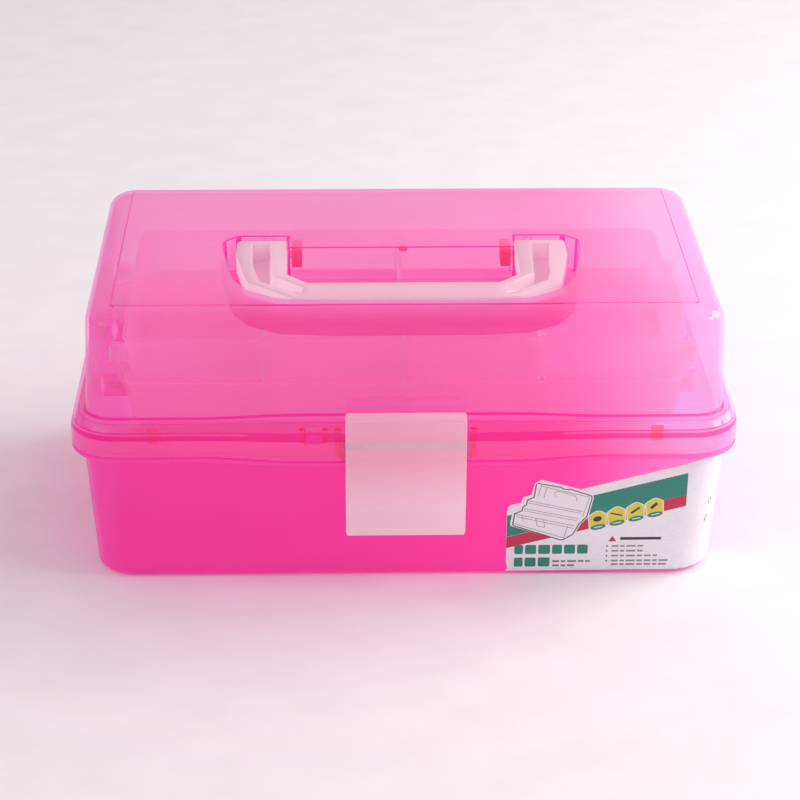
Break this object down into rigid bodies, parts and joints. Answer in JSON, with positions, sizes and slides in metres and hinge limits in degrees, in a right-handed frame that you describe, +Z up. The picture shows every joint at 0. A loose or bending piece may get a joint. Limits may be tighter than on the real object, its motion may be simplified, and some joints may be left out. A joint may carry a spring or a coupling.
{
  "type": "art supply box",
  "caption": "Rectangular translucent storage box with a rear-hinged lid, folding carry handle, rocking front latch and stacked trays that step up and back on side arms.",
  "frame": {"origin": "centre of the base's flat underside", "axes": "+X to the right seen from the front, the front with the latch faces -Y, the lid hinge is at +Y, +Z up"},
  "size_m": [0.33, 0.2125, 0.1434],
  "materials": {
    "base_plastic": "translucent saturated pink polypropylene, smooth",
    "lid_plastic": "translucent pink polypropylene, smooth",
    "tray_plastic": "translucent pale pink polypropylene",
    "divider_plastic": "translucent pale pink polypropylene",
    "arm_plastic": "translucent pink polypropylene",
    "rivet_plastic": "pink moulded rivets",
    "milky_plastic": "milky translucent white polypropylene",
    "steel": "plain bright steel wire",
    "label_film": "satin white printed film"
  },
  "bodies": {
    "base": {"base_box": "base_plastic", "base_pivot_pins": "rivet_plastic", "hinge_pins": "steel", "latch_pin": "steel", "label": "label_film"},
    "lid": {"lid": "lid_plastic", "handle_pins": "lid_plastic", "lid_link_pins": "rivet_plastic"},
    "handle": {"handle": "milky_plastic"},
    "latch": {"latch": "milky_plastic"},
    "rear_arms": {"rear_arm_left": "arm_plastic", "rear_arm_right": "arm_plastic", "arm_link_pins": "rivet_plastic"},
    "front_arms": {"front_arm_left": "arm_plastic", "front_arm_right": "arm_plastic"},
    "lower_tray": {"lower_tray": "tray_plastic", "lower_dividers": "divider_plastic", "lower_tray_pins": "rivet_plastic"},
    "upper_tray": {"upper_tray": "tray_plastic", "upper_dividers": "divider_plastic", "upper_tray_pins": "rivet_plastic"},
    "lid_links": {"lid_link_left": "arm_plastic", "lid_link_right": "arm_plastic"}
  },
  "joints": [
    {"name": "lid_hinge", "type": "hinge", "parent": "base", "child": "lid", "pos_m": [0, 0.104, 0.076], "axis": [-1, 0, 0], "range_deg": [0, 100]},
    {"name": "rear_arm_pivot", "type": "hinge", "parent": "base", "child": "rear_arms", "pos_m": [0, 0.076, 0.062], "axis": [-1, 0, 0], "range_deg": [0, 62]},
    {"name": "front_arm_pivot", "type": "hinge", "parent": "base", "child": "front_arms", "pos_m": [0, 0.006, 0.062], "axis": [-1, 0, 0], "range_deg": [0, 62]},
    {"name": "lower_tray_pivot", "type": "hinge", "parent": "rear_arms", "child": "lower_tray", "pos_m": [0, 0.03996, 0.08724], "axis": [-1, 0, 0], "range_deg": [-62, 0]},
    {"name": "upper_tray_pivot", "type": "hinge", "parent": "rear_arms", "child": "upper_tray", "pos_m": [0, 0.00392, 0.11248], "axis": [-1, 0, 0], "range_deg": [-62, 0]},
    {"name": "lid_link_pivot", "type": "hinge", "parent": "lid", "child": "lid_links", "pos_m": [0, 0.077, 0.097], "axis": [-1, 0, 0], "range_deg": [-74, 0]},
    {"name": "handle_fold", "type": "hinge", "parent": "lid", "child": "handle", "pos_m": [0, 0.0025, 0.137], "axis": [-1, 0, 0], "range_deg": [0, 95]},
    {"name": "latch_rock", "type": "hinge", "parent": "base", "child": "latch", "pos_m": [0, -0.0988, 0.077], "axis": [1, 0, 0], "range_deg": [0, 9]}
  ],
  "couplings": [
    {"joint": "rear_arm_pivot", "follows": "lid_hinge", "ratio": 0.62},
    {"joint": "front_arm_pivot", "follows": "lid_hinge", "ratio": 0.62},
    {"joint": "lower_tray_pivot", "follows": "lid_hinge", "ratio": -0.62},
    {"joint": "upper_tray_pivot", "follows": "lid_hinge", "ratio": -0.62},
    {"joint": "lid_link_pivot", "follows": "lid_hinge", "ratio": -0.74}
  ]
}
